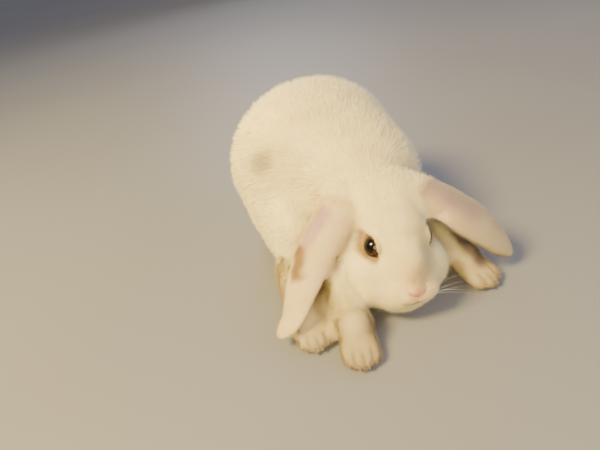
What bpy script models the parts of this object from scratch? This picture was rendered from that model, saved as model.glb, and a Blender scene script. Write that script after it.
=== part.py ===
"""A young lop-eared rabbit at life size, crouching with its chin close to the floor.

Run with: blender --background --python part.py

The rabbit faces -Y, its left side is +X, and the floor is Z = 0. Lengths are written in
millimetres and turned into metres by MM. The whole body is modelled once from rounded
masses, fused and smoothed, and then parted by thin cuts into the pieces that have names.
"""
import math

import bmesh
import bpy
from mathutils import Matrix, Vector

MM = 0.001                # one millimetre in metres

# ---- driving sizes, in millimetres ---------------------------------------------------
BACK_HEIGHT = 119         # top of the arched back above the floor
TRUNK_WIDTH = 132         # across the haunches, coat included
EYE_RADIUS = 7.8
EAR_THICKNESS = 4.2
CUT = 0.34                # width of the thin cuts between pieces
COARSE = 3.4              # grain of the torso, which is broad and smooth
FINE = 1.5                # grain of the head, ears and feet
BODY_FACES = 3740         # triangles on the body before its trunk is thinned further
TRUNK_FACES = 960         # triangles left on the plain trunk
FLOOR_TRIM = 0.9          # what the floor flats take off the underside
TOE_SPREAD = 5.1          # between the middles of neighbouring toes
TOE_LOW = 5.2             # height of the middle of each toe tip
EYE_PLACES = {"right": (-16.2, -1.5, 0), "left": (13.8, -1.5, 0)}  # the head leans on the right
EAR_ROOT = 4              # which row along the ear is where it leaves the crown
EAR_MARGIN = 1.3          # how far the ear's cut runs outside the ear itself

# Where the cuts run: middle, half-axes and turn of each rounded cut, and middle, size and
# tilt of each flat one.
HAUNCHES = {
    "right": ((-58, 18, 33), (27, 59, 41), (0, 0, -4)),
    "left": ((33, 25, 33), (29, 54, 41), (0, 0, 6)),
}
TAIL = ((-26, 104, 36), (20, 15, 22), (-20, 0, 0))
BEFORE_NAPE = ((0, -145, 14), (200, 200, 300), (0, 23))
BEFORE_WITHERS = ((0, -127, 20), (200, 200, 300), (0, 23))

HEAD_PLACE = (-1, -77, 43.5)     # midway between the eyes
HEAD_YAW = -8                    # the face turns a little to the rabbit's right


def head_matrix():
    turn = Matrix.Rotation(math.radians(HEAD_YAW), 4, "Z")
    return Matrix.Translation(Vector(HEAD_PLACE)) @ turn


HEAD = head_matrix()


# ---- rounded masses ------------------------------------------------------------------
def ball(bm, centre, radii, turn=(0, 0, 0), frame=Matrix.Identity(4), grain=3):
    """An ellipsoid of the given half-axes, turned by degrees about X, Y and Z."""
    place = Matrix.Translation(Vector(centre))
    for angle, axis in zip(turn, "XYZ"):
        place = place @ Matrix.Rotation(math.radians(angle), 4, axis)
    size = Matrix.Diagonal((*radii, 1))
    bmesh.ops.create_icosphere(bm, subdivisions=grain, radius=1, matrix=frame @ place @ size)


def smooth_path(points, steps):
    """Points on a Catmull-Rom curve through the given rows of numbers."""
    rows = [points[0], *points, points[-1]]
    made = []
    for a, b, c, d in zip(rows, rows[1:], rows[2:], rows[3:]):
        for k in range(steps):
            t = k / steps
            made.append([
                0.5 * (2 * q + (r - p) * t + (2 * p - 5 * q + 4 * r - s) * t * t
                       + (3 * q - p - 3 * r + s) * t ** 3)
                for p, q, r, s in zip(a, b, c, d)
            ])
    made.append(list(points[-1]))
    return made


def limb(bm, rows, steps=5):
    """A tapering limb: each row is x, y, z and the radius there."""
    for x, y, z, radius in smooth_path(rows, steps):
        ball(bm, (x, y, z), (radius,) * 3, grain=2)


def torso_masses(bm):
    half = TRUNK_WIDTH / 2
    ball(bm, (-17, 39, BACK_HEIGHT - 60), (half, 56, 60), (4, 0, 10))
    ball(bm, (-21, 60, 44), (50, 40, 43))
    ball(bm, (-8, 17, 54), (56, 50, 53))
    ball(bm, (0, -3, 50), (48, 46, 46))
    ball(bm, (0, -16, 40), (42, 40, 36))
    ball(bm, (-8, 26, 30), (52, 62, 27))
    ball(bm, (2, -34, 48), (30, 32, 28))
    ball(bm, (0, -46, 26), (30, 30, 19))
    for side in SIDES.values():
        ball(bm, (-14 + side * 42, 30, 37), (22, 44, 38), (-10, 0, side * 5))
    ball(bm, (-25, 99, 34), (16, 13, 18), (-20, 0, 0))
    ball(bm, (-53, -2, 30), (22, 44, 31), (-8, 0, 0))
    ball(bm, (34, 22, 26), (23, 46, 27), (-6, 0, 4))


def head_masses(bm):
    def mass(centre, radii, turn=(0, 0, 0)):
        ball(bm, centre, radii, turn, HEAD)

    mass((0, 27, 11), (30, 20, 22))
    mass((0, 17, 8), (25, 20, 20))
    mass((0, 6, 2), (21, 20, 18))
    mass((0, -11, -8), (14, 18, 14.5))
    mass((0, -17, -24), (15.5, 15, 13.5))
    mass((-6, -14, -26), (19, 18.5, 14.5))
    mass((0, 6, -20), (24, 24, 16))
    mass((0, -25, -19), (7, 6, 7))
    mass((-18, -3, -22.5), (19, 22.5, 18.5))
    mass((13, -1, -20), (16, 21, 17))
    mass((-17, 12, -6), (11.5, 17, 17))
    mass((14, 13, -6), (10.5, 17, 17))
    for side in SIDES.values():
        mass((side * 8, -22, -23), (8.5, 9.5, 9))
        mass((side * 14.5, 0, 0), (7.0, 11, 9))
    mass((-27, 4, -23), (18, 20, 17))
    mass((-27, 14, -9), (12.5, 15, 14))
    mass((25, 16, -22), (17, 18, 16))


def paw(bm, wrist, toe, spread, low):
    """Four toes side by side, fanning from the wrist to the toe line."""
    ahead = (toe - wrist).normalized()
    across = Vector((-ahead.y, ahead.x, 0))
    for k, reach in zip((-1.5, -0.5, 0.5, 1.5), (-8, -5, -5, -8)):
        root = wrist + across * k * spread * 0.62 + ahead * 4
        tip = toe + across * k * spread + ahead * reach
        mid = root.lerp(tip, 0.55)
        limb(bm, [(*root.xy, low + 3.4, 7.2), (*mid.xy, low + 2, 6.0), (*tip.xy, low, 4.9)])


def foreleg_masses(bm, toe, elbow):
    """A lower foreleg lying on the floor with the paw flat, from the elbow to the toes."""
    toe, elbow = Vector((*toe, 0)), Vector((*elbow, 0))
    wrist = toe - (toe - elbow).normalized() * 27
    mid = elbow.lerp(wrist, 0.5)
    limb(bm, [(*elbow.xy, 28, 16), (*mid.xy, 17, 13.5), (*wrist.xy, 12, 12)])
    paw(bm, wrist, toe, TOE_SPREAD, TOE_LOW)


def hindfoot_masses(bm, toe, heel):
    toe, heel = Vector((*toe, 0)), Vector((*heel, 0))
    front = toe - (toe - heel).normalized() * 26
    mid = heel.lerp(front, 0.5)
    limb(bm, [(*heel.xy, 12.5, 11.5), (*mid.xy, 13, 13), (*front.xy, 10.8, 10.8)])
    paw(bm, front, toe, TOE_SPREAD, TOE_LOW)


FORE = {"right": ((-51, -129), (-36, -50)), "left": ((50.5, -103.5), (32, -30))}
HIND = {"right": ((-70.5, -105), (-66, -30)), "left": ((56, -46), (50, 32))}
SIDES = {"right": -1, "left": 1}


# ---- ears ----------------------------------------------------------------------------
# Stations down each ear: the middle of the leaf, the way across it from its front edge to
# its back edge, half its width, and how far round it curls, in degrees.
EARS = {
    "right": [
        ((-14, -40, 66), (-0.3, 1, 0), 12, 150),
        ((-26, -44, 69), (-0.5, 1, 0), 16, 130),
        ((-40, -55, 60), (-0.75, 1, 0), 19.5, 140),
        ((-52, -61, 47.5), (-1, 0.95, -0.1), 18.5, 140),
        ((-62.5, -66.5, 37), (-1, 0.95, -0.2), 17, 130),
        ((-72, -75.5, 28), (-0.75, 1, -0.35), 15.5, 115),
        ((-80.5, -85, 20), (-0.6, 1, -0.5), 14.5, 100),
        ((-91, -88, 10), (-0.7, 0.85, -0.5), 10.5, 85),
    ],
    "left": [
        ((12, -46, 65), (0.5, 1, 0), 12, 150),
        ((23, -56, 68), (0.8, 1, 0), 16, 130),
        ((33.5, -67, 62), (1, 0.9, 0), 20, 130),
        ((42.5, -74, 53.5), (1, 0.75, 0), 20, 125),
        ((50.5, -79, 44.5), (1, 0.65, 0), 19, 115),
        ((59, -83, 33), (1, 0.55, -0.05), 16, 105),
        ((67.5, -85.5, 20), (1, 0.45, -0.2), 13.5, 95),
        ((74.5, -86.5, 8), (1, 0.5, -0.3), 9.5, 80),
    ],
}


def ear_mesh(bm, side, stations, first=0, widen=0, across_steps=12, along_steps=5):
    """A lop ear: a leaf curled round its own length, open on the side of the cheek."""
    rows = smooth_path([(*c, *a, w + widen, k) for c, a, w, k in stations], along_steps)
    rows = rows[first:]
    if widen:
        past = Vector(rows[-1][0:3]) - Vector(rows[-2][0:3])
        rows.append([*(Vector(rows[-1][0:3]) + past.normalized() * widen), *rows[-1][3:]])
        root = Vector(rows[0][0:3]) - Vector(rows[1][0:3])
        rows[0] = [*(Vector(rows[0][0:3]) + root.normalized() * widen), *rows[0][3:]]
    rings = []
    for i, row in enumerate(rows):
        centre, across = Vector(row[0:3]), Vector(row[3:6])
        ahead = Vector(rows[min(i + 1, len(rows) - 1)][0:3])
        ahead = (ahead - Vector(rows[max(i - 1, 0)][0:3])).normalized()
        across = (across - ahead * across.dot(ahead)).normalized()
        outward = ahead.cross(across) * side
        if outward.z < 0 and outward.x * side < 0:
            outward = -outward
        curl = math.radians(row[7])
        end = 0 if widen else (i / (len(rows) - 1)) ** 8
        radius = row[6] * math.sqrt(max(1 - end, 0.03)) * 2 / curl
        ring = []
        for j in range(across_steps + 1):
            a = (j / across_steps - 0.5) * curl
            offset = across * math.sin(a) * radius + outward * (math.cos(a) - 1) * radius * 0.9
            ring.append(bm.verts.new(centre + offset))
        rings.append(ring)
    for low, high in zip(rings, rings[1:]):
        for a, b, c, d in zip(low, low[1:], high[1:], high):
            bm.faces.new((a, b, c, d))


# ---- from masses to one body ---------------------------------------------------------
def new_object(name, bm):
    bmesh.ops.recalc_face_normals(bm, faces=bm.faces)
    mesh = bpy.data.meshes.new(name)
    bm.to_mesh(mesh)
    bm.free()
    obj = bpy.data.objects.new(name, mesh)
    bpy.context.scene.collection.objects.link(obj)
    return obj


def settle(obj):
    """Replaces the object's mesh with what its modifiers make of it."""
    bpy.context.view_layer.update()
    graph = bpy.context.evaluated_depsgraph_get()
    mesh = bpy.data.meshes.new_from_object(obj.evaluated_get(graph))
    obj.modifiers.clear()
    obj.data = mesh
    return obj


def fuse(obj, grain, rounds):
    """Melts overlapping masses into one smooth closed surface."""
    remesh = obj.modifiers.new("fuse", "REMESH")
    remesh.mode = "VOXEL"
    remesh.voxel_size = grain
    smooth = obj.modifiers.new("soften", "SMOOTH")
    smooth.factor = 0.5
    smooth.iterations = rounds
    return settle(obj)


def thick_ear(name, side, first=0, widen=0, **steps):
    bm = bmesh.new()
    ear_mesh(bm, side, EARS[name], first, widen, **steps)
    obj = new_object("ear_shape", bm)
    solid = obj.modifiers.new("thick", "SOLIDIFY")
    solid.thickness = EAR_THICKNESS + 2 * widen
    solid.offset = 0
    return settle(obj)


def gather(objects):
    """Puts the meshes of several objects into one."""
    bm = bmesh.new()
    for obj in objects:
        bm.from_mesh(obj.data)
        bpy.data.objects.remove(obj)
    return new_object("whole", bm)


def whole_body():
    parts = []
    bm = bmesh.new()
    torso_masses(bm)
    parts.append(fuse(new_object("torso", bm), COARSE, 14))
    bm = bmesh.new()
    head_masses(bm)
    parts.append(fuse(new_object("skull", bm), FINE, 10))
    bm = bmesh.new()
    for name in SIDES:
        foreleg_masses(bm, *FORE[name])
        hindfoot_masses(bm, *HIND[name])
    ball(bm, (-56.5, -70, 6.5), (6, 18, 9))
    parts.append(new_object("legs", bm))
    parts += [thick_ear(name, side) for name, side in SIDES.items()]
    return fuse(gather(parts), FINE, 7)


# ---- parting the body into named pieces ----------------------------------------------
def boolean(target, cutter, kind):
    mod = target.modifiers.new("cut", "BOOLEAN")
    mod.operation = kind
    mod.solver = "EXACT"
    mod.object = cutter
    mod.use_self = True
    mod.double_threshold = 0.00001
    return settle(target)


def copy_of(obj, name):
    twin = obj.copy()
    twin.data = obj.data.copy()
    twin.name = name
    bpy.context.scene.collection.objects.link(twin)
    return twin


def carve(body, name, shape):
    """Takes the part of the body inside a shape as its own piece, with a thin gap left.

    shape makes a closed object from a margin; the margin widens the hole in the body.
    """
    inner, outer = shape(0), shape(CUT)
    piece = boolean(copy_of(body, name), inner, "INTERSECT")
    boolean(body, outer, "DIFFERENCE")
    bpy.data.objects.remove(inner)
    bpy.data.objects.remove(outer)
    return keep_largest(piece)


def keep_largest(obj):
    """Drops crumbs: only the biggest closed shell of the piece stays."""
    bm = bmesh.new()
    bm.from_mesh(obj.data)
    left, shells = set(bm.verts), []
    while left:
        stack, shell = [left.pop()], []
        while stack:
            vert = stack.pop()
            shell.append(vert)
            for edge in vert.link_edges:
                other = edge.other_vert(vert)
                if other in left:
                    left.discard(other)
                    stack.append(other)
        shells.append(shell)
    shells.sort(key=len)
    bmesh.ops.delete(bm, geom=[v for shell in shells[:-1] for v in shell], context="VERTS")
    bm.to_mesh(obj.data)
    bm.free()
    return obj


def sleeve(rows, margin, sides=12):
    """A closed tube: each row is x, y, z, half its width and half its height there."""
    bm = bmesh.new()
    points = [Vector(row[:3]) for row in rows]
    rings = []
    for i, row in enumerate(rows):
        ahead = points[min(i + 1, len(rows) - 1)] - points[max(i - 1, 0)]
        ahead.normalize()
        across = ahead.cross(Vector((0, 0, 1))).normalized()
        up = across.cross(ahead)
        end = 1 if i == len(rows) - 1 else -1 if i == 0 else 0
        ring = []
        for k in range(sides):
            a = 2 * math.pi * (k + 0.5) / sides
            offset = across * math.cos(a) * (row[3] + margin)
            offset += up * math.sin(a) * (row[4] + margin) + ahead * end * margin
            ring.append(bm.verts.new(points[i] + offset))
        rings.append(ring)
    for low, high in zip(rings, rings[1:]):
        for k in range(sides):
            bm.faces.new((low[k - 1], low[k], high[k], high[k - 1]))
    bm.faces.new(rings[0])
    bm.faces.new(rings[-1])
    return new_object("sleeve", bm)


def block(centre, size, tilt, margin):
    """A box of the given whole size, tipped by degrees about X after a turn about Z."""
    bm = bmesh.new()
    place = Matrix.Translation(Vector(centre))
    for angle, axis in zip(tilt, "ZX"):
        place = place @ Matrix.Rotation(math.radians(angle), 4, axis)
    size = Matrix.Diagonal((*(s + 2 * margin for s in size), 1))
    bmesh.ops.create_cube(bm, size=1, matrix=place @ size)
    return new_object("block", bm)


def egg(centre, radii, turn, margin, grain=2):
    """A coarse ellipsoid."""
    bm = bmesh.new()
    ball(bm, centre, [r + margin for r in radii], turn, grain=grain)
    return new_object("egg", bm)


def leg_rows(toe, heel, stations):
    """Sleeve rows along a leg: fraction from heel to toe, height, half width, half height."""
    toe, heel = Vector(toe), Vector(heel)
    return [(*heel.lerp(toe, t), z, wide, tall) for t, z, wide, tall in stations]


FORE_SLEEVE = [(-0.05, 27, 17, 17), (0.32, 17, 15, 15.5), (0.62, 11.5, 13.8, 14),
               (0.82, 9, 14.5, 13), (1.06, 7, 15, 11)]
HIND_SLEEVE = [(-0.06, 14, 15, 15.5), (0.35, 13, 17.5, 15.5), (0.65, 11, 17.5, 14.5),
               (0.82, 9, 14, 13), (1.06, 7, 14.5, 11)]


def claw(tip, ahead, margin):
    """A short curved claw, thick at the root and sunk in the end of a toe."""
    rows = []
    for reach, drop, thick in ((-1, 0, 1.3), (3.8, 0.5, 1.2), (5.8, 1.9, 0.4)):
        spot = tip + ahead * reach
        rows.append((spot.x, spot.y, spot.z + 0.8 - drop, thick * 0.8, thick))
    return sleeve(rows, margin, sides=5)


def toe_tips(toe, heel, spread, low):
    """Where each toe of a foot ends, and the way the foot points."""
    toe, heel = Vector((*toe, low)), Vector((*heel, low))
    ahead = (toe - heel).normalized()
    across = Vector((-ahead.y, ahead.x, 0))
    rows = zip((-1.5, -0.5, 0.5, 1.5), (-8, -5, -5, -8))
    return [toe + across * k * spread + ahead * reach for k, reach in rows], ahead


def thin_out(obj, faces, where=None):
    """Thins the mesh to about so many triangles, all over or only in a vertex group."""
    thin = obj.modifiers.new("thin", "DECIMATE")
    thin.ratio = faces / sum(len(p.vertices) - 2 for p in obj.data.polygons)
    thin.use_collapse_triangulate = True
    if where:
        thin.vertex_group = where
        thin.vertex_group_factor = 1
    return settle(obj)


def reduce(obj):
    """Few triangles on the plain trunk, more in the head, the ears and the paws."""
    thin_out(obj, BODY_FACES)
    group = obj.vertex_groups.new(name="plain")
    for vert in obj.data.vertices:
        group.add([vert.index], min(max((vert.co.y + 56) / 20, 0), 1), "REPLACE")
    back = sum(1 for p in obj.data.polygons if p.center.y > -46)
    whole = len(obj.data.polygons)
    thin_out(obj, whole - back + TRUNK_FACES, "plain")


def part_feet(body, pieces):
    """Parts the legs from the body, the feet from the legs, and gives each toe its claw."""
    for name in SIDES:
        for kind, plan, stations, leg, wrist in (
            ("fore", FORE, FORE_SLEEVE, "foreleg_", 0.6),
            ("hind", HIND, HIND_SLEEVE, None, 0),
        ):
            toe, heel = plan[name]
            rows = leg_rows(toe, heel, stations)
            foot = carve(body, kind + "foot_" + name, lambda m: sleeve(rows, m))
            ahead = (Vector(toe) - Vector(heel)).normalized()
            if leg:
                back = Vector(heel).lerp(Vector(toe), wrist) - ahead * 60
                turn = math.degrees(math.atan2(-ahead.x, ahead.y))
                cutter = ((*back, 20), (90, 120, 120), (turn, 0))
                pieces[leg + name] = carve(foot, leg + name, lambda m: block(*cutter, m))
            spots, ahead = toe_tips(toe, heel, TOE_SPREAD, TOE_LOW - FLOOR_TRIM)
            for k, spot in enumerate(spots, 1):
                socket = claw(spot, ahead, CUT)
                boolean(foot, socket, "DIFFERENCE")
                bpy.data.objects.remove(socket)
                tag = f"claw_{kind}foot_{name}_{k}"
                pieces[tag] = claw(spot, ahead, 0)
                pieces[tag].name = tag
            pieces[foot.name] = keep_largest(foot)


def part_body(body):
    """Parts the whole body into its named pieces and gives the head its eyes."""
    pieces = {}
    for name, side in SIDES.items():
        steps = {"along_steps": 3, "across_steps": 6}
        pieces["ear_" + name] = carve(
            body, "ear_" + name,
            lambda m: lowered(thick_ear(name, side, EAR_ROOT, EAR_MARGIN + m, **steps)))
    part_feet(body, pieces)
    for name, cutter in HAUNCHES.items():
        pieces["haunch_" + name] = carve(body, "haunch_" + name, lambda m: egg(*cutter, m))
    pieces["tail"] = carve(body, "tail", lambda m: egg(*TAIL, m))
    pieces["head"] = carve(body, "head", lambda m: block(*BEFORE_NAPE, m))
    pieces["neck"] = carve(body, "neck", lambda m: block(*BEFORE_WITHERS, m))
    pieces["trunk"] = keep_largest(body)
    body.name = "trunk"
    for name in SIDES:
        place = HEAD @ Vector(EYE_PLACES[name]) - Vector((0, 0, FLOOR_TRIM))
        socket = egg(place, (EYE_RADIUS,) * 3, (0, 0, 0), CUT, 3)
        boolean(pieces["head"], socket, "DIFFERENCE")
        bpy.data.objects.remove(socket)
        pieces["eye_" + name] = egg(place, (EYE_RADIUS,) * 3, (0, 0, 0), 0, 3)
        pieces["eye_" + name].name = "eye_" + name
    keep_largest(pieces["head"])
    return pieces


def lowered(obj):
    obj.data.transform(Matrix.Translation((0, 0, -FLOOR_TRIM)))
    return obj


# ---- colours -------------------------------------------------------------------------
COLOURS = {
    "ear": ((0.80, 0.63, 0.52), 0.8),
    "eye": ((0.02, 0.012, 0.01), 0.1),
    "claw": ((0.23, 0.17, 0.12), 0.4),
    "": ((0.83, 0.74, 0.58), 0.9),
}


def paint(obj):
    kind = next(key for key in COLOURS if obj.name.startswith(key))
    colour, roughness = COLOURS[kind]
    mat = bpy.data.materials.new(obj.name)
    mat.use_nodes = True
    shader = mat.node_tree.nodes["Principled BSDF"]
    shader.inputs["Base Color"].default_value = (*colour, 1)
    shader.inputs["Roughness"].default_value = roughness
    mat.diffuse_color = (*colour, 1)
    obj.data.materials.clear()
    obj.data.materials.append(mat)


def main():
    for obj in list(bpy.data.objects):
        bpy.data.objects.remove(obj)
    body = whole_body()
    reduce(body)
    lowered(body)
    floor = block((0, 0, -20), (400, 400, 40), (0, 0), 0)
    boolean(body, floor, "DIFFERENCE")
    bpy.data.objects.remove(floor)
    pieces = part_body(body)
    spots = [v.co for obj in pieces.values() for v in obj.data.vertices]
    middle = [(min(s[i] for s in spots) + max(s[i] for s in spots)) / 2 for i in (0, 1)]
    print("middle of the floor plan, in mm:", [round(m, 3) for m in middle])
    shift = Matrix.Translation((-middle[0], -middle[1], 0))
    for name, obj in pieces.items():
        obj.name = name
        obj.data.name = name
        obj.data.transform(Matrix.Scale(MM, 4) @ shift)
        obj.data.shade_smooth()
        paint(obj)


main()
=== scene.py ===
# %% [markdown]
# # A young lop rabbit, crouching with its chin low
# This lesson builds the looks of a life-size rabbit over solids that already have the right outline. The
# order is the one a taxidermist keeps: a smooth form, then the face, the eyes and the claws, and the coat
# last of all. The solids reach out to the tips of the fur, so everything made here has to stay inside
# them.

# %% Load the solids that carry the shape
import math

import bmesh
import bpy
import numpy as np
from mathutils import Matrix, Vector
from mathutils.bvhtree import BVHTree


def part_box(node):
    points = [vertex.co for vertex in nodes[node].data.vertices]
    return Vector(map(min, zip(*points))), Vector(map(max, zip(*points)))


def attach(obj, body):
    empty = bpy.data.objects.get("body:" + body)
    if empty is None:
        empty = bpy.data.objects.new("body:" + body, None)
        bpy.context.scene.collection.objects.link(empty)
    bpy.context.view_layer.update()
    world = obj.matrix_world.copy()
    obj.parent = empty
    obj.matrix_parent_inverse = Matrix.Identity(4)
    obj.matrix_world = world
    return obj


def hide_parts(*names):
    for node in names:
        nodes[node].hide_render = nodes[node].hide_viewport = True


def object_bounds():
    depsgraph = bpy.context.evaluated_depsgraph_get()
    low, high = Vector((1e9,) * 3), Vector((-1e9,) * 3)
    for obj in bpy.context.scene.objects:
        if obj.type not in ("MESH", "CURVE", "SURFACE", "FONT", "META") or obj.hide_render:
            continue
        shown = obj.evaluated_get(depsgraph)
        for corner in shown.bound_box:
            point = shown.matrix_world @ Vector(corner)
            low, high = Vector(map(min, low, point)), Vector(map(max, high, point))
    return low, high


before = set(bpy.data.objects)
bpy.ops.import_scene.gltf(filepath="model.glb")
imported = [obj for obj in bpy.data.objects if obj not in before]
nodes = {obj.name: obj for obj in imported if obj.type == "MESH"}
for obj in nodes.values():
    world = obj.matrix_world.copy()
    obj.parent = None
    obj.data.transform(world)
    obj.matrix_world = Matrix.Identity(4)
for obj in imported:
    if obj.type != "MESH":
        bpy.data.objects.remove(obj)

MM = 0.001
cad_low, cad_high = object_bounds()
scene = bpy.context.scene
print("box of the solids in mm:", [round(s / MM, 1) for s in cad_high - cad_low])

# %% [markdown]
# ## Landmarks
# A face is laid out from a few landmarks: the eyes, the line between them, and the tip of the nose. They
# are measured on the solids, so the lids, nostrils and markings made below always land in the right
# places. The head's own axes point to the rabbit's left, to the back of its head, and up. The right eye
# of the solids sits further out than the left one, so a small shift brings the middle of the axes back to
# the middle of the head.

# %% Measure the landmarks
def centre_of(node):
    low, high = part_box(node)
    return (low + high) / 2


def numbers(mesh_items, name, width=3):
    """One named property of all the vertices, edges or loops of a mesh, as rows of numbers."""
    found = np.empty(len(mesh_items) * width, np.float32)
    mesh_items.foreach_get(name, found)
    return found.reshape(-1, width).astype(float) if width > 1 else found.astype(float)


SIDES = {"right": -1, "left": 1}
EYES = {side: centre_of("eye_" + side) for side in SIDES}
EYE_RADIUS = (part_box("eye_left")[1].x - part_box("eye_left")[0].x) / 2
LEFT = (EYES["left"] - EYES["right"]).normalized()
UP = Vector((0, 0, 1))
BACK = UP.cross(LEFT)
BROW_SHIFT = (LEFT * 1.2 + BACK * 0.8) * MM
BROW = (EYES["left"] + EYES["right"]) / 2 + BROW_SHIFT
NOSE_UP, NOSE_REACH = -19.5, 4


def on_head(left, back, up):
    """A place given in millimetres along the head's own axes, from their middle between the eyes."""
    return BROW + (LEFT * left + BACK * back + UP * up) * MM


def head_axes(places):
    """Places as millimetres to the left, back and up from the middle of the head's axes."""
    return (places - np.array(BROW)) @ np.array([LEFT, BACK, UP]).T / MM


head_points = numbers(nodes["head"].data.vertices, "co")
left, back, up = head_axes(head_points).T
back[(np.abs(left) > NOSE_REACH) | (np.abs(up - NOSE_UP) > NOSE_REACH)] = np.inf
NOSE = Vector(head_points[np.argmin(back)])
print("eyes", EYES, "radius", round(EYE_RADIUS, 5), "nose", NOSE)

# %% [markdown]
# ## Shader maths as plain arithmetic
# Node trees are graphs of sums, and a sum is easier to read as an expression than as a list of nodes and
# links. The small class below wraps a socket, and each operator adds the Math node that does the sum. One
# method adds every other kind of node, so all the finishes further down are short.

# %% A socket that can be used in sums
class Wire:
    """One output socket of a shader node, for use in expressions."""

    def __init__(self, tree, socket=None):
        self.tree, self.socket = tree, socket

    def node(self, kind, settings=(), sockets=(), out=0):
        """Adds a node: its settings first, then the values or links of its sockets."""
        made = self.tree.nodes.new(kind)
        for name, value in dict(settings).items():
            if name == "stops":
                for stop, (place, colour) in zip(made.color_ramp.elements, value):
                    stop.position, stop.color = place, (*colour, 1)
            else:
                setattr(made, name, value)
        for name, value in dict(sockets).items():
            if isinstance(value, Wire):
                self.tree.links.new(value.socket, made.inputs[name])
            else:
                made.inputs[name].default_value = value
        return Wire(self.tree, made.outputs[out])

    def sum_of(self, operation, a, b):
        return self.node("ShaderNodeMath", {"operation": operation}, {0: a, 1: b})

    def __add__(self, other):
        return self.sum_of("ADD", self, other)

    def __sub__(self, other):
        return self.sum_of("SUBTRACT", self, other)

    def __rsub__(self, other):
        return self.sum_of("SUBTRACT", other, self)

    def __mul__(self, other):
        return self.sum_of("MULTIPLY", self, other)

    __radd__, __rmul__ = __add__, __mul__

    def noise(self, size, detail=2.0):
        """Soft noise whose blotches are about size metres across, from 0 to 1."""
        sockets = {"Vector": self, "Scale": 1 / size, "Detail": detail}
        return self.node("ShaderNodeTexNoise", {}, sockets)

    def blend(self, other, share):
        """This colour, mixed with another by a share from 0 to 1."""
        sockets = {0: share, 6: self, 7: other if isinstance(other, Wire) else (*other, 1)}
        return self.node("ShaderNodeMix", {"data_type": "RGBA"}, sockets, out=2)

    def ramp(self, *stops):
        return self.node("ShaderNodeValToRGB", {"stops": stops}, {"Fac": self})

    def attribute(self, name):
        return self.node("ShaderNodeAttribute", {"attribute_name": name}, {}, "Fac")


def new_finish(name, **values):
    """A material with a Principled shader set to plain values, its shader, and its place in space."""
    material = bpy.data.materials.new(name)
    material.use_nodes = True
    shader = material.node_tree.nodes["Principled BSDF"]
    for socket, value in values.items():
        shader.inputs[socket.replace("_", " ")].default_value = value
    start = Wire(material.node_tree).node("ShaderNodeTexCoord", out="Object")
    return material, shader, start


def feed(wire, shader, socket):
    wire.tree.links.new(wire.socket, shader.inputs[socket])

# %% [markdown]
# ## The point of view
# The rabbit is seen by someone bending down to it: 22 cm above the floor, looking down a third of a right
# angle, with the camera rolled a little. A camera could be aimed at a target, but three plain turns keep
# that roll exact.

# %% Camera
CAMERA_PLACE = Vector((-94.4, -291.7, 223.0)) * MM
CAMERA_HEADING, CAMERA_DOWN, CAMERA_ROLL = -10.4, 32.95, -12.05
CAMERA_LENS, CAMERA_SENSOR = 28.68, 36


def turned(degrees, axis):
    return Matrix.Rotation(math.radians(degrees), 4, axis)


camera = bpy.data.objects.new("camera", bpy.data.cameras.new("camera"))
camera.data.lens, camera.data.sensor_width = CAMERA_LENS, CAMERA_SENSOR
camera.data.clip_start = 0.01
aim = turned(CAMERA_HEADING, "Z") @ turned(90 - CAMERA_DOWN, "X") @ turned(CAMERA_ROLL, "Z")
camera.matrix_world = Matrix.Translation(CAMERA_PLACE) @ aim
scene.collection.objects.link(camera)
scene.camera = camera
print("camera at", CAMERA_PLACE)

# %% [markdown]
# ## Lamps and the room
# A warm lamp high on the rabbit's right does the modelling, and cool daylight comes from its left. Small
# lamps would cast hard shadows, and white fur shows its form only through soft ones, so all the lamps are
# broad discs. A cool one behind keeps the rump from going dark. The room is a pale grey, brighter
# overhead than near the floor.

# %% Lamps and room
MIDDLE = (cad_low + cad_high) / 2
LAMPS = {
    "key": ((-0.75, -0.10, 0.95), 0.40, 45.0, (1.0, 0.76, 0.29)),
    "fill": ((0.95, -0.35, 0.70), 0.90, 7.5, (0.62, 0.66, 1.0)),
    "front": ((-0.45, -1.05, 0.60), 0.80, 18.0, (1.0, 0.80, 0.46)),
    "back": ((0.25, 1.30, 0.75), 0.90, 6.0, (0.84, 0.86, 1.0)),
}
for name, (place, size, power, colour) in LAMPS.items():
    lamp = bpy.data.lights.new(name, "AREA")
    lamp.shape, lamp.size, lamp.energy, lamp.color = "DISK", size, power, colour
    made = bpy.data.objects.new(name, lamp)
    made.location = place
    made.rotation_euler = (MIDDLE - made.location).to_track_quat("-Z", "Y").to_euler()
    scene.collection.objects.link(made)
room = bpy.data.worlds.new("room")
room.use_nodes = True
sky = Wire(room.node_tree).node("ShaderNodeTexCoord", out="Generated")
level = sky.node("ShaderNodeSeparateXYZ", {}, {0: sky}, out=2)
glow = level.ramp((0.0, (0.15, 0.145, 0.165)), (0.55, (0.36, 0.355, 0.42)))
feed(glow, room.node_tree.nodes["Background"], "Color")
scene.world = room
print("lamps:", ", ".join(LAMPS))

# %% [markdown]
# ## The floor
# The rabbit lies on a hard, smooth floor that reflects a little. Tiles or cloth would draw the eye away
# from the animal, so one plain pale sheet is enough, wide enough for its edge to stay out of sight.

# %% Floor
FLOOR_HALF = 9.0
bm = bmesh.new()
bmesh.ops.create_grid(bm, x_segments=1, y_segments=1, size=FLOOR_HALF)
floor = bpy.data.objects.new("floor", bpy.data.meshes.new("floor"))
bm.to_mesh(floor.data)
bm.free()
scene.collection.objects.link(floor)
finish, shader, place = new_finish("pale_floor", Roughness=0.45)
tone = place.noise(0.5).ramp((0.3, (0.185, 0.185, 0.19)), (0.7, (0.205, 0.205, 0.21)))
feed(tone, shader, "Base Color")
floor.data.materials.append(finish)
print("floor", 2 * FLOOR_HALF, "m across")

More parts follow.
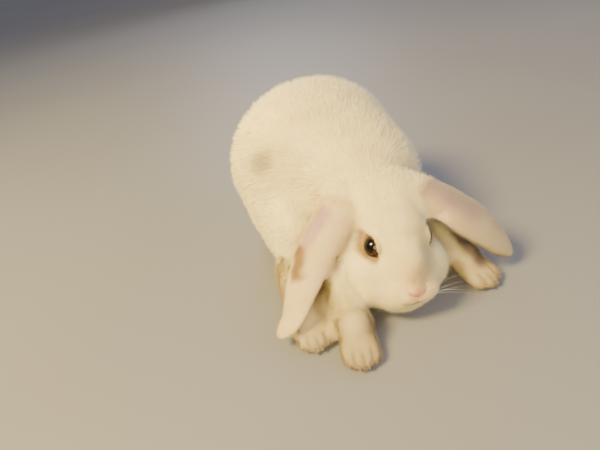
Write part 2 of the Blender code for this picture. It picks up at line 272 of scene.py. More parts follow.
# %% [markdown]
# ## The form under the fur
# The solids were parted with thin cuts so that each piece has a name. A real animal has one skin, so the
# pieces are swollen until the cuts close, melted into one surface with a voxel remesh, and smoothed. Two
# small balls fill webs of skin that the cuts leave open: in front of the right ear's root, where the ear
# folds down onto the cheek, and in the fold between the left elbow and the hind foot.

# %% One surface over all the flesh
FLESH = sorted(n for n in nodes if not n.startswith(("claw_", "eye_")))
GRAIN, SOFTEN_ROUNDS = 1.4 * MM, 5
SWELL = 0.25 * MM
WEBS = [(on_head(-27.0, 12.6, 7.5), 4.8 * MM), (Vector((50.0, -14.0, 13.0)) * MM, 6.2 * MM)]


def linked(name, mesh):
    made = bpy.data.objects.new(name, mesh)
    scene.collection.objects.link(made)
    return made


def settled(obj):
    """Puts what the object's modifiers make into its mesh."""
    graph = bpy.context.evaluated_depsgraph_get()
    mesh = bpy.data.meshes.new_from_object(obj.evaluated_get(graph))
    obj.modifiers.clear()
    obj.data = mesh
    return obj


def melted():
    bm = bmesh.new()
    for name in FLESH + ["eye_left", "eye_right"]:
        start = len(bm.verts)
        bm.from_mesh(nodes[name].data)
        bm.verts.ensure_lookup_table()
        bm.normal_update()
        for vert in bm.verts[start:]:
            vert.co += vert.normal * SWELL
    for place, radius in WEBS:
        bmesh.ops.create_icosphere(bm, subdivisions=2, radius=radius, matrix=Matrix.Translation(place))
    mesh = bpy.data.meshes.new("skin")
    bm.to_mesh(mesh)
    bm.free()
    skin = linked("skin", mesh)
    remesh = skin.modifiers.new("melt", "REMESH")
    remesh.mode, remesh.voxel_size = "VOXEL", GRAIN
    soften = skin.modifiers.new("soften", "SMOOTH")
    soften.factor, soften.iterations = 0.5, SOFTEN_ROUNDS
    return settled(skin)


skin = melted()
print("skin:", len(skin.data.polygons), "faces")

# %% [markdown]
# ## Finer mesh where the face needs it
# Lids and nostrils are thinner than the grain of the skin. Rather than a fine mesh all over, only the
# faces around the eyes and the nose are divided again, which keeps the skin light enough to work with.

# %% Divide the faces round the eyes and nose
FINE_ZONES = [(EYES["left"], 13 * MM), (EYES["right"], 13 * MM), (NOSE + BACK * 3 * MM, 11 * MM)]


def divide_near(mesh, zones):
    bm = bmesh.new()
    bm.from_mesh(mesh)
    edges = [
        e for e in bm.edges
        if any((v.co - spot).length < reach for v in e.verts[:1] for spot, reach in zones)
    ]
    bmesh.ops.subdivide_edges(bm, edges=edges, cuts=1, use_grid_fill=True)
    bmesh.ops.triangulate(bm, faces=[f for f in bm.faces if len(f.verts) > 4])
    bm.to_mesh(mesh)
    bm.free()


SECOND_ZONE = 0.85
for share in (1, SECOND_ZONE):
    divide_near(skin.data, [(spot, reach * share) for spot, reach in FINE_ZONES])
print("skin after dividing:", len(skin.data.polygons), "faces")

# %% [markdown]
# ## Where each place on the skin came from
# Every vertex of the skin looks up the nearest solid. That says what kind of coat grows there, and a
# table gives the coat's depth for each kind. Painting these kinds by hand would also work, but it would
# have to be done again each time the form changes, and a search for the nearest face does not.

# %% Look up the nearest solid
def surface_of(names):
    """One search tree over several solids, and the name of the solid behind each of its faces."""
    verts, faces, owners = [], [], []
    for name in names:
        mesh = nodes[name].data
        first = len(verts)
        verts += [v.co.copy() for v in mesh.vertices]
        faces += [[first + i for i in p.vertices] for p in mesh.polygons]
        owners += [name] * len(mesh.polygons)
    return BVHTree.FromPolygons(verts, faces), owners


solid_tree, solid_owner = surface_of(FLESH)
spots = numbers(skin.data.vertices, "co")
kin = np.array([solid_owner[solid_tree.find_nearest(Vector(p))[2]] for p in spots])
print({name: int((kin == name).sum()) for name in FLESH})

# %% [markdown]
# ## Soft borders between the parts
# On the animal nothing changes abruptly: the fur grows longer little by little from the face to the back.
# Values could be blended border by border, but moving each one towards the mean of its neighbours does it
# everywhere at once. The same evening-out rubs the flat facets of the solids away where the body is
# plain.

# %% Even values out over the mesh
pairs = numbers(skin.data.edges, "vertices", 2).astype(int).T
neighbours = np.maximum(np.bincount(pairs.ravel(), minlength=len(spots)), 1)


def evened(values, rounds, pull=0.5):
    """Each round moves every value towards the mean of its neighbours on the skin."""
    columns = values.reshape(len(spots), -1).astype(float)
    a, b = pairs
    for _ in range(rounds):
        near = np.stack([
            np.bincount(a, column[b], len(spots)) + np.bincount(b, column[a], len(spots))
            for column in columns.T
        ], 1) / neighbours[:, None]
        columns = columns + (near - columns) * pull
    return columns.reshape(values.shape)


def by_kind(table):
    """A value for each vertex from a table of the kinds of solid, such as head or ear."""
    return np.array([table[name.split("_")[0]] for name in FLESH])[np.searchsorted(FLESH, kin)]


def smoothed(places, rounds, share):
    """Each round moves every place half of share of the way to the middle of its neighbours."""
    for _ in range(rounds):
        places = places + (evened(places, 1, 1.0) - places) * 0.5 * share
    return places


PLAINNESS = {"trunk": 1, "haunch": 1, "tail": 1, "neck": 1, "head": 0.22, "foreleg": 0.5,
             "forefoot": 0.12, "hindfoot": 0.25, "ear": 0.25}
BORDER_ROUNDS, FACET_ROUNDS = 12, 26
plain = evened(by_kind(PLAINNESS), BORDER_ROUNDS)
spots = smoothed(spots, FACET_ROUNDS, plain[:, None])
print("smoothed; plainness from", plain.min().round(2), "to", plain.max().round(2))

# %% [markdown]
# ## From the tips of the coat down to the skin
# The solids end at the tips of the fur, so the skin is drawn inwards by the depth of the coat: about 4 mm
# on the body, 1.5 to 3 mm on the head, 1.5 to 2 mm on the feet, and less than 1 mm on the ears. The
# direction is an evened-out normal, which keeps the surface from folding over itself. Where an ear lies
# on a cheek or a leg on the belly there is hardly any coat between them, so the depth shrinks with the
# room that a ray finds in front of the skin.

# %% Draw the skin in
COAT_DEPTH = {"trunk": 4.0, "haunch": 3.7, "tail": 4.2, "neck": 3.2, "head": 1.5, "foreleg": 2.4,
              "forefoot": 1.4, "hindfoot": 2.0, "ear": 0.85}
CROWN_EXTRA = 1.4
RAY_START, ROOM_WANTED = 0.4 * MM, 6 * MM
LEAST_DEPTH = 0.12


def put_spots(mesh, places):
    mesh.vertices.foreach_set("co", places.astype(np.float32).ravel())
    mesh.update()


def unit(vectors):
    return vectors / np.maximum(np.linalg.norm(vectors, axis=-1, keepdims=True), 1e-12)


def soft_step(values, start, end):
    share = np.clip((values - start) / (end - start), 0, 1)
    return share * share * (3 - 2 * share)


def soft_normals(rounds):
    """Normals of the skin as it stands, evened out so that they turn gently."""
    put_spots(skin.data, spots)
    return unit(evened(numbers(skin.data.vertices, "normal"), rounds))


def search_tree(places, faces):
    return BVHTree.FromPolygons([Vector(p) for p in places], faces)


outward = soft_normals(4)
skin_tree = search_tree(spots, [p.vertices[:] for p in skin.data.polygons])
room_ahead = np.ones(len(spots))
for i, (place, normal) in enumerate(zip(spots, outward)):
    hit = skin_tree.ray_cast(Vector(place + normal * RAY_START), Vector(normal), ROOM_WANTED)
    if hit[0] is not None:
        room_ahead[i] = hit[3] / ROOM_WANTED
depth = by_kind(COAT_DEPTH)
depth = depth + (kin == "head") * CROWN_EXTRA * soft_step(head_axes(spots)[:, 1], -12, 14)
depth = evened(depth * (LEAST_DEPTH + (1 - LEAST_DEPTH) * room_ahead), 8) * MM
spots = smoothed(spots - outward * depth[:, None], 1, 1)
put_spots(skin.data, spots)
print("coat depth from", (depth.min() / MM).round(2), "to", (depth.max() / MM).round(2), "mm")

# %% [markdown]
# ## Lids
# An eyelid is skin stretched over the ball. Each eye gets its own small map: along from the rear corner
# to the front one, across from the lower lid to the upper, and outward from the ball's middle. Inside an
# almond drawn on that map the skin sinks behind the eyeball. Outside it the skin is kept clear of the
# ball, with a rim as thick as a lid.

# %% Shape the lids
LID_HALF_LENGTH = 8.8 * MM
LID_HALF_HEIGHT = {"right": 5.3 * MM, "left": 3.4 * MM}
LID_THICKNESS = 0.75 * MM
BALL_RADIUS = 0.96 * EYE_RADIUS
BALL_DEPTH = {"right": 0.6 * MM, "left": 1.3 * MM}
EYE_SINK = 1.6 * MM
LID_EDGE = (-0.35 * MM, 0.30 * MM)
LID_REACH = 1.4
ALMOND_BOW, LOWER_LID = 1.05, 0.92
EYE_LOOKS = {"right": (0.80, -0.26, 0.48), "left": (0.88, -0.16, 0.42)}
EYE_CORNER = (-0.25, -0.76, -0.60)


def eye_axes(side):
    """Along to the front corner, across to the upper lid, and outward, as the rows of a matrix."""
    s = SIDES[side]
    looks = EYE_LOOKS[side]
    out = (LEFT * looks[0] * s + BACK * looks[1] + UP * looks[2]).normalized()
    along = LEFT * EYE_CORNER[0] * s + BACK * EYE_CORNER[1] + UP * EYE_CORNER[2]
    along = (along - out * along.dot(out)).normalized()
    across = out.cross(along)
    return np.array([along, across if across.z > 0 else -across, out])


BALLS = {side: Vector(np.array(EYES[side]) - eye_axes(side)[2] * BALL_DEPTH[side]) for side in SIDES}


def lid_gap(places, side):
    """How far outside the almond opening each place is, in metres; negative is inside it."""
    local = (places - np.array(BALLS[side])) @ eye_axes(side).T
    u, v = local[:, 0] / LID_HALF_LENGTH, local[:, 1]
    bow = np.clip(1 - u * u, 0, 1) ** ALMOND_BOW
    edge = LID_HALF_HEIGHT[side] * bow * np.where(v > 0, 1.0, LOWER_LID)
    side_gap = np.abs(v) - edge
    end_gap = np.hypot(np.maximum(np.abs(u) - 1, 0) * LID_HALF_LENGTH, v)
    gap = np.where(np.abs(u) < 1, side_gap * np.where(side_gap > 0, 0.9, 0.75), end_gap)
    return np.where(local[:, 2] > -2 * MM, gap, 1)


for side, centre in BALLS.items():
    rays = spots - np.array(centre)
    reach = np.linalg.norm(rays, axis=1)
    gap = lid_gap(spots, side)
    over = np.maximum(reach, BALL_RADIUS + LID_THICKNESS)
    rise = soft_step(gap, *LID_EDGE)
    wanted = (BALL_RADIUS - EYE_SINK) * (1 - rise) + over * rise
    close = (reach < BALL_RADIUS * LID_REACH) & (kin == "head")
    spots[close] = np.array(centre) + rays[close] * (wanted / reach)[close, None]
put_spots(skin.data, spots)
print("lids shaped on", ", ".join(EYES))

# %% [markdown]
# ## Nose and mouth
# A rabbit's nose is a soft pad with two comma-shaped nostrils, a groove runs down from it, and the mouth
# opens to both sides at the bottom. Each of these is a line drawn in the head's own millimetres. The skin
# sinks along the line and swells a little beside it, which is what makes the pads that the whiskers grow
# from. The bridge of the nose is smoothed well first and raised by a millimetre, since smoothing flattens
# it.

# %% Grooves and pads of the muzzle
NOSTRIL = [(0.9, -23.2), (2.2, -22.2), (4.2, -20.4), (5.8, -18.2), (6.2, -16.6)]
GROOVE = [(0, -22.5), (0, -27.3)]
MOUTH = [(0, -27.3), (3.0, -27.5), (6.0, -26.8), (9.0, -26.0), (12.0, -26.4)]
BRIDGE_ROUNDS, BRIDGE_RISE = 60, 1.0 * MM
FAR_OFF = 50


def from_line(u, v, line):
    """Distance on the plane from each point to a line through a few points."""
    nearest = np.full(len(u), 1e9)
    for (a, b), (c, d) in zip(line, line[1:]):
        length = (c - a) ** 2 + (d - b) ** 2
        share = np.clip(((u - a) * (c - a) + (v - b) * (d - b)) / length, 0, 1)
        nearest = np.minimum(nearest, np.hypot(u - a - share * (c - a), v - b - share * (d - b)))
    return nearest


def muzzle_lines(places):
    """Distances in mm to the nostrils, the groove and the mouth, large away from the muzzle's front."""
    left, back, up = head_axes(places).T
    away = np.where(back < -17, 0, FAR_OFF)
    u = np.abs(left)
    return [from_line(u, up, line) + away for line in (NOSTRIL, GROOVE, MOUTH)]


def dent(distance, width):
    return np.exp(-(distance / width) ** 2)


left, back, up = head_axes(spots).T
bridge = np.exp(-np.hypot(left / 11, (up + 9) / 9) ** 2) * (back < 0)
spots = smoothed(spots, BRIDGE_ROUNDS, bridge[:, None])
spots += soft_normals(2) * (bridge * BRIDGE_RISE)[:, None]
outward = soft_normals(2)
nostril, groove, mouth = muzzle_lines(spots)
left, back, up = head_axes(spots).T
pads = np.exp(-((np.abs(left) - 6.5) / 4) ** 2 - ((up + 24) / 3.2) ** 2) * (back < -15)
tip = np.exp(-(left / 3.6) ** 2 - ((up - NOSE_UP) / 2.8) ** 2) * (back < -20)
lift = 0.5 * pads + 0.5 * tip - 1.3 * dent(nostril, 0.65) - 0.8 * dent(groove, 0.6)
lift -= 1.5 * dent(mouth, 0.75) * soft_step(12 - np.abs(left), 0, 5)
spots += outward * (lift * MM)[:, None]
put_spots(skin.data, spots)
skin.data.shade_smooth()
print("deepest groove", (lift.min()).round(2), "mm")

# %% [markdown]
# ## Toes
# A rabbit's paw is a soft pad of fur with four toes that part only near their tips. The claws of the
# solids say where the toes end, so the grooves between the toes run back from halfway between
# neighbouring claws, fade after a centimetre or so, and stay on the upper side of the paw.

# %% Grooves between the toes
FEET = ("forefoot_right", "forefoot_left", "hindfoot_right", "hindfoot_left")
TOE_GROOVE, TOE_TIP = 10 * MM, 3 * MM
TOE_DENT = 0.7
claws = {foot: [centre_of(f"claw_{foot}_{k}") for k in range(1, 5)] for foot in FEET}
points_ahead = {}
for foot, tips in claws.items():
    way = sum(tips, Vector()) / 4 - centre_of(foot)
    points_ahead[foot] = Vector((way.x, way.y, 0)).normalized()


def toe_marks(places):
    """Distance in mm to the nearest groove between toes, and to the nearest claw."""
    groove, claw = np.full((2, len(places)), float(FAR_OFF))
    for foot, tips in claws.items():
        ahead = points_ahead[foot]
        for tip in tips:
            claw = np.minimum(claw, np.linalg.norm(places - np.array(tip), axis=1) / MM)
        for one, other in zip(tips, tips[1:]):
            start = (one + other) / 2 + ahead * TOE_TIP
            end = start - ahead * TOE_GROOVE
            line = [(start.x, start.y), (end.x, end.y)]
            groove = np.minimum(groove, from_line(places[:, 0], places[:, 1], line) / MM)
    return groove, claw


outward = soft_normals(2)
toe_groove, claw_near = toe_marks(spots)
on_top = soft_step(outward[:, 2], -0.3, 0.3) * soft_step(14 - claw_near, 0, 8)
spots -= outward * (TOE_DENT * dent(toe_groove, 0.9) * on_top * MM)[:, None]
put_spots(skin.data, spots)
print("toe grooves on", int((toe_groove < 1).sum()), "vertices")

# %% [markdown]
# ## What every new piece needs
# A piece has to say two things: that it rides on the one body of the animal, and which solids it takes the
# place of. A round or cleaned-up shape is easiest to get from the bmesh tools, and a mesh is then built
# from the corners and faces that they leave. Numbers kept on the vertices carry whatever a finish has to
# know.

# %% Helpers for new pieces
def new_piece(name, verts, faces, nodes_replaced, slot_name):
    mesh = bpy.data.meshes.new(name)
    mesh.from_pydata(verts, [], faces)
    mesh.shade_smooth()
    made = linked(name, mesh)
    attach(made, "root")
    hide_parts(*nodes_replaced)
    return made


def taken_out(bm):
    """The corners and faces of a bmesh, which is freed."""
    verts = [v.co[:] for v in bm.verts]
    faces = [[v.index for v in f.verts] for f in bm.faces]
    bm.free()
    return verts, faces


def keep_values(mesh, **columns):
    """Stores a number for each vertex under a name that a finish can read."""
    for name, values in columns.items():
        layer = mesh.attributes.new(name, "FLOAT", "POINT")
        layer.data.foreach_set("value", np.asarray(values, np.float32))


print("helpers ready for", len(nodes) - len(FLESH), "solids that get a piece of their own")

# %% [markdown]
# ## Eyes
# A rabbit's eye is nearly all iris and pupil, with a clear dome in front and no white in sight. The ball
# sits a little deeper than the solid one, because the coat stands clear of the lids. Its dome is a small
# swelling round the way the eye looks. The distance from that way is kept on the ball, so its finish can
# draw the rings of the iris. Blender's sphere comes with its faces in no fixed order, so they are sorted
# to get the same mesh every time.

# %% Make the eyeballs
DOME_RISE, DOME_WIDTH = 0.035, 34
eyes = {}
for side, centre in BALLS.items():
    bm = bmesh.new()
    bmesh.ops.create_uvsphere(bm, u_segments=48, v_segments=32, radius=1)
    ball, faces = taken_out(bm)
    ball = np.array(ball)
    along, across, out = eye_axes(side)
    lean = np.degrees(np.arccos(np.clip(ball @ out, -1, 1)))
    radius = BALL_RADIUS * (1 + DOME_RISE * dent(lean, DOME_WIDTH))
    places = np.array(centre) + ball * radius[:, None]
    eye = new_piece("eyeball_" + side, places, sorted(faces), ["eye_" + side], "eye")
    keep_values(eye.data, lean=lean, front=np.clip(ball @ along, -1, 1))
    eyes[side] = eye
print("eyeballs", BALL_RADIUS / MM, "mm in radius")

# %% [markdown]
# ## Claws
# Claws are smooth curved cones of horn, hardly longer than the fur of the toes. Each solid claw is a tube
# with five flat sides, so a subdivision surface over the same corners gives the smooth one and keeps it
# in the same place.

# %% Make the claws
claw_pieces = []
for name in sorted(n for n in nodes if n.startswith("claw_")):
    bm = bmesh.new()
    bm.from_mesh(nodes[name].data)
    bmesh.ops.remove_doubles(bm, verts=bm.verts, dist=0.02 * MM)
    bmesh.ops.dissolve_limit(bm, angle_limit=0.05, verts=bm.verts, edges=bm.edges)
    claw = new_piece(name.replace("claw_", "horn_"), *taken_out(bm), [name], "claw")
    smooth = claw.modifiers.new("smooth", "SUBSURF")
    smooth.levels = smooth.render_levels = 2
    claw_pieces.append(settled(claw))
print(len(claw_pieces), "claws")

# %% [markdown]
# ## Markings
# The rabbit is cream-white, with marks that skin and coat share. Each mark is a number from 0 to 1 at
# every vertex of the skin, worked out from distances. A painted map could hold them too, but it would
# have to follow every change of form. Coloured fur has ragged edges, so a few waves of smooth noise move
# each border about.

# %% Helpers for soft, ragged marks
WAVES, WAVE_RATE, FULL_TURN, WAVE_CALM = 9, 2.2, 6.28, 4


def wobble(places, size, seed):
    """Smooth noise about 0, with swings about size metres across, made from a few waves."""
    draw = np.random.default_rng(seed)
    waves = draw.normal(size=(WAVES, 3)) / size
    phases = draw.random(WAVES) * FULL_TURN
    return np.sin(places @ waves.T * WAVE_RATE + phases).sum(1) / WAVE_CALM


def from_rod(start, end):
    """Distance in mm of the skin from the straight rod between two places given in mm."""
    start, end = np.array(start) * MM, np.array(end) * MM
    way = end - start
    share = np.clip((spots - start) @ way / (way @ way), 0, 1)
    return np.linalg.norm(spots - start - share[:, None] * way, axis=1) / MM


def cloud(distance, reach, seed):
    """1 inside reach, fading out softly over a ragged edge."""
    ragged = reach + 0.3 * reach * wobble(spots, 5 * MM, seed)
    return soft_step(ragged - distance, -0.5 * reach, 0.5 * reach)


def haze(distance, reach, seed):
    """1 on the rod itself, fading out all the way to reach."""
    return soft_step(1 - distance / reach + 0.12 * wobble(spots, 7 * MM, seed), 0, 0.9)


marks = {}
lid = {side: lid_gap(spots, side) / MM for side in SIDES}
nearest_lid = np.minimum(lid["left"], lid["right"])
left, back, up = head_axes(spots).T
nostril, groove, mouth = muzzle_lines(spots)
on_head_solid = kin == "head"
is_ear = np.char.startswith(kin, "ear")
print("skin on the ears:", int(is_ear.sum()), "vertices")

# %% [markdown]
# ## Rusty fur
# Tears stain the fur round the eyes, most of all below them and round the right one. The paws and the
# lower forelegs are stained faintly from the floor, and a chestnut patch lies on the outer edge of the
# right ear. All of these are one mark at different strengths, because their colours are nearly the same.

# %% Rust round the eyes, on the paws and on the right ear
RING_STRENGTH = {"right": 1.0, "left": 0.35}
RING_REACH, RING_DROP = 3.5, 2.6
PAW_STAIN = {"forefoot": 0.42, "hindfoot": 0.20, "foreleg": 0.10}
EDGE_ROD, EDGE_REACH = ((-54.5, -47.5, 44.5), (-60.5, -56.5, 36.5)), 6.3
stained = by_kind({kind: PAW_STAIN.get(kind, 0) for kind in PLAINNESS})
rust = evened(stained, 10) * soft_step(26 - spots[:, 2] / MM, 0, 16)
for side in SIDES:
    height_on_eye = (spots - np.array(EYES[side])) @ eye_axes(side)[1] / MM
    low_side = soft_step(-height_on_eye, -3, 2)
    ring = soft_step(RING_REACH + RING_DROP * low_side - np.maximum(lid[side], 0), 0, 4.2)
    ring = ring * RING_STRENGTH[side] * (0.50 + 0.50 * low_side)
    rust = np.maximum(rust, ring * on_head_solid)
edge_patch = cloud(from_rod(*EDGE_ROD), EDGE_REACH, 5)
marks["rust"] = np.maximum(rust, edge_patch * is_ear)
print("most rust on the right ear:", edge_patch[is_ear].max().round(2))

# %% [markdown]
# ## Pink and lilac
# Blood shows pink through the thin fur of the nose and ears. Along the upper bend of each ear a second mark
# lays a lilac haze. On the left ear, which lies in shade, the haze is wider and is partly painted shade.
# One mark could not hold both, since a mark has a single tint.

# %% Pink on nose and ears, lilac along the ears
CREST_RODS = {"right": ((-52, -48, 50), (-32, -43, 62)), "left": ((34, -56, 66), (56, -72, 49))}
ears = evened(is_ear, 6)
nose_pink = np.exp(-np.hypot(left / 6.5, (up + 20.5) / 6.0) ** 2 * 1.3)
bridge = np.exp(-np.hypot(left / 9.0, (up + 14.0) / 8.0) ** 2) * 0.34
nose_pink = np.maximum(nose_pink, bridge) * (back < -12)
ear_pink = (0.30 + 0.12 * wobble(spots, 12 * MM, 8)) * ears
marks["pink"] = np.clip(np.maximum(nose_pink, ear_pink), 0, 1)
crest = np.clip(haze(from_rod(*CREST_RODS["right"]), 9.5, 6) * 1.5, 0, 1)
# left ear: a wider lilac haze, partly painted shade, since that ear lies in shade
crest = np.maximum(crest, haze(from_rod(*CREST_RODS["left"]), 12.0, 7) * 0.85)
marks["lilac"] = crest * evened(ears, 24)
print("mean pink of the ears:", marks["pink"][is_ear].mean().round(2))

# %% [markdown]
# ## Fawn smudge and painted shade
# A fawn smudge lies on the right flank. The left ear is painted darker than the right one, most of all
# underneath, as painted shade, since that ear lies in shade and its underside faces down. A slate-grey
# patch of painted shadow, where that ear's shadow falls, lies on the outer side of the left foreleg, below
# the edge of the ear. The smudge and the patch are each a haze round a short rod, which is enough for a
# mark with no clear border.

# %% Fawn smudge and painted shade marks
FLANK_ROD = ((-50.5, 5, 87), (-50.5, 15, 79))
PAINTED_SHADE_ROD = ((49, -61, 26), (58, -77, 16))
flank = haze(from_rod(*FLANK_ROD), 12.0, 9)
# painted shadow of the left ear on the outer side of the left foreleg
painted_shadow_patch = haze(from_rod(*PAINTED_SHADE_ROD), 9.5, 11) * (spots[:, 2] > 8 * MM)
on_left_ear = kin == "ear_left"
# painted shade on the left ear: darker underneath, where it faces down, and a little darker all over
painted_underside_shade = evened(on_left_ear * soft_step(-outward[:, 2], 0.0, 0.5), 3)
painted_ear_shade = evened(on_left_ear, 12)
# fawn: the smudge on the right flank, plus painted shade on the left ear
marks["fawn"] = np.clip(flank * 0.72 + painted_underside_shade * 0.40 + painted_ear_shade * 0.30, 0, 1)
# slate-grey painted shade: the ear's shadow on the foreleg, and the shaded left ear
marks["slate"] = np.clip(np.maximum(painted_shadow_patch * 1.3, painted_underside_shade * 0.3 + painted_ear_shade * 0.10), 0, 1)
print("most fawn on the flank:", flank.max().round(2))

# %% [markdown]
# ## Brown toes, dark rims and painted shade in grooves
# The toes are stained brown round the claws, and the grooves between them are painted brown as painted
# shade. The rims of the lids are dark, and the nostrils, darkest at their inner ends, and the line of the
# mouth are painted dark as painted shade in their hollows.

# %% Brown stains, dark rims and painted shade in grooves
stain_and_groove_shade = dent(claw_near, 4.0) * (0.60 + 0.3 * wobble(spots, 6 * MM, 10))
# painted shade in the grooves between the toes, in brown
stain_and_groove_shade = np.maximum(stain_and_groove_shade, dent(toe_groove, 0.9) * on_top * soft_step(12 - claw_near, 0, 5))
marks["brown"] = np.clip(stain_and_groove_shade, 0, 1)
# painted shade in the nostrils, darkest at their inner ends, and along the mouth
inner_end = dent(np.hypot(np.abs(left) - 4.4, up + 20.2), 1.6)
mouth_line = dent(mouth, 1.15) * soft_step(11 - np.abs(left), 0, 3)
painted_slit_shade = np.maximum(dent(nostril, 0.6) * (0.20 + 0.45 * inner_end), mouth_line)
# dark: painted shade in the nostrils and mouth, and the dark rims of the lids
marks["dark"] = np.maximum(painted_slit_shade, soft_step(1.0 - nearest_lid, 0, 1.1) * 0.9 * on_head_solid)
for name in marks:
    marks[name] = evened(marks[name], 1)
keep_values(skin.data, **marks)
print({name: round(float(values.mean()), 4) for name, values in marks.items()})

# %% [markdown]
# ## How the hair lies
# Hair grows back from the nose over the face, down and back over the body, along each ear towards its tip
# and along each leg towards the toes. Every vertex gets the way of its own part, laid flat on the skin.
# Evening the ways out makes the hair turn gradually where parts meet, as it does on a real coat.

# %% Lay out the way of the hair
LIE = {"trunk": (0, 1, -0.45), "haunch": (0, 1, -0.7), "neck": (0, 1, -0.3), "tail": (0, 1, 0.3)}
PARTING_DEPTH = 6 * MM
ways = np.zeros_like(spots)
for name in FLESH:
    kind, here = name.split("_")[0], kin == name
    if kind in LIE:
        ways[here] = unit(np.array(LIE[kind], float))
    elif kind == "head":
        ways[here] = unit(spots[here] - np.array(NOSE + BACK * PARTING_DEPTH))
    elif kind == "ear":
        ear_root = on_head(14 * SIDES[name.split("_")[1]], 30, 24)
        ways[here] = unit(spots[here] - np.array(ear_root))
    else:
        foot = name.replace("foreleg", "forefoot")
        ways[here] = np.array(points_ahead[foot]) + (0, 0, -0.15)
outward = soft_normals(3)


def laid_flat(vectors, normals):
    return unit(vectors - (vectors * normals).sum(-1, keepdims=True) * normals)


for rounds in (6, 10, 6):
    ways = laid_flat(evened(ways, rounds), outward)
print("mean way on the trunk:", ways[kin == "trunk"].mean(0).round(2))

# %% [markdown]
# ## Length and thickness of the coat
# The coat is short and plush: about 8 mm on the back, 4 mm on the face and feet, and a little less on the
# ears. The hair is shorter still near the eyes and nose, and there is none on the lids or in the
# nostrils. Widths are in millimetres too, and the density counts the tufts on a square millimetre. The
# tips reach as high over the skin as the skin was drawn in, so the coat fills the outline of the solids
# again.

# %% Tables for the coat
LENGTH = {"trunk": 8.5, "haunch": 8.5, "tail": 9.5, "neck": 7.0, "head": 4.2, "foreleg": 6.5,
          "forefoot": 4.0, "hindfoot": 4.8, "ear": 3.4}
WIDTH = {"trunk": 0.42, "haunch": 0.42, "tail": 0.42, "neck": 0.40, "head": 0.30, "foreleg": 0.36,
         "forefoot": 0.28, "hindfoot": 0.30, "ear": 0.28}
DENSITY = {"trunk": 5.2, "haunch": 5.2, "tail": 6.0, "neck": 7.0, "head": 16.0, "foreleg": 9.0,
           "forefoot": 14.0, "hindfoot": 11.0, "ear": 13.0}
from_nose = np.linalg.norm(spots - np.array(NOSE), axis=1) / MM
close_in = (0.45 + 0.55 * soft_step(nearest_lid, 0, 6)) * (0.40 + 0.60 * soft_step(from_nose, 4, 24))
length = evened(by_kind(LENGTH) * close_in, 10) * MM * (0.4 + 0.6 * room_ahead)
length *= 1 + 0.10 * wobble(spots, 9 * MM, 21)
width = evened(by_kind(WIDTH) * (0.6 + 0.4 * close_in), 6) * MM
height = evened(np.maximum(depth, 0.25 * MM) * close_in ** 0.5, 4)
cover = soft_step(nearest_lid, 0.5, 1.5) * soft_step(nostril, 0.5, 1.1) * soft_step(mouth, 0.9, 2.0)
cover = cover * (1 - 0.7 * soft_step(-outward[:, 2], 0.5, 0.9) * (spots[:, 2] < 14 * MM))
cover = cover * (0.25 + 0.75 * soft_step(room_ahead, 0.0, 0.5))
density = evened(by_kind(DENSITY), 4) * cover
print("hair length", (length.min() / MM).round(2), "to", (length.max() / MM).round(2), "mm")

# %% [markdown]
# ## A map of the skin for the coat's colours
# A coat of separate tufts has no surface of its own to unwrap, so each tuft needs a place on a map of the
# skin. The map is an unwrap of a plainer copy of the skin. Every vertex of the skin remembers the nearest
# face of the copy, and each tuft later takes a small patch at its own root.

# %% Unwrap a plain copy of the skin
ISLAND_ANGLE, ISLAND_MARGIN = 1.15, 0.004
MAP_FACES = 7000


def unwrapped_copy(faces):
    plain_skin = linked("plain_skin", skin.data.copy())
    thin = plain_skin.modifiers.new("thin", "DECIMATE")
    thin.ratio = faces / len(plain_skin.data.polygons) / 2
    thin.use_collapse_triangulate = True
    settled(plain_skin)
    for obj in bpy.context.selected_objects:
        obj.select_set(False)
    bpy.context.view_layer.objects.active = plain_skin
    plain_skin.select_set(True)
    bpy.ops.object.mode_set(mode="EDIT")
    bpy.ops.mesh.select_all(action="SELECT")
    bpy.ops.uv.smart_project(angle_limit=ISLAND_ANGLE, island_margin=ISLAND_MARGIN, scale_to_bounds=True)
    bpy.ops.object.mode_set(mode="OBJECT")
    mesh = plain_skin.data
    corners = numbers(mesh.vertices, "co")[numbers(mesh.loops, "vertex_index", 1).astype(int)]
    flat = numbers(mesh.uv_layers.active.data, "uv", 2)
    bpy.data.objects.remove(plain_skin)
    return corners.reshape(-1, 3, 3), flat.reshape(-1, 3, 2)


map_corners, map_flat = unwrapped_copy(MAP_FACES)
map_tree = search_tree(
    map_corners.reshape(-1, 3),
    [(i, i + 1, i + 2) for i in range(0, 3 * len(map_corners), 3)])
map_face = np.array([map_tree.find_nearest(Vector(p))[2] for p in spots])
print("map of", len(map_corners), "faces")


def on_map(places, faces):
    """Where places lie on the map, given the face of the plain copy that each belongs to."""
    a, b, c = map_corners[faces].transpose(1, 0, 2)
    ab, ac, ap = b - a, c - a, places - a
    d00, d01, d11 = (ab * ab).sum(1), (ab * ac).sum(1), (ac * ac).sum(1)
    d20, d21 = (ap * ab).sum(1), (ap * ac).sum(1)
    scale = np.maximum(d00 * d11 - d01 * d01, 1e-20)
    v, w = (d11 * d20 - d01 * d21) / scale, (d00 * d21 - d01 * d20) / scale
    shares = np.clip(np.stack([1 - v - w, v, w], 1), 0, 1)
    shares /= shares.sum(1, keepdims=True)
    return (map_flat[faces] * shares[:, :, None]).sum(1)

# %% [markdown]
# ## Where the tufts grow
# Hair grows closest on the face, ears and feet and more openly on the back, where it is longer. A regular
# grid of roots would show through as rows, so the roots fall at random, weighted by the area and the
# density of each triangle of the skin. Every root carries the values of its place: the way and length of
# the hair, and the marks.

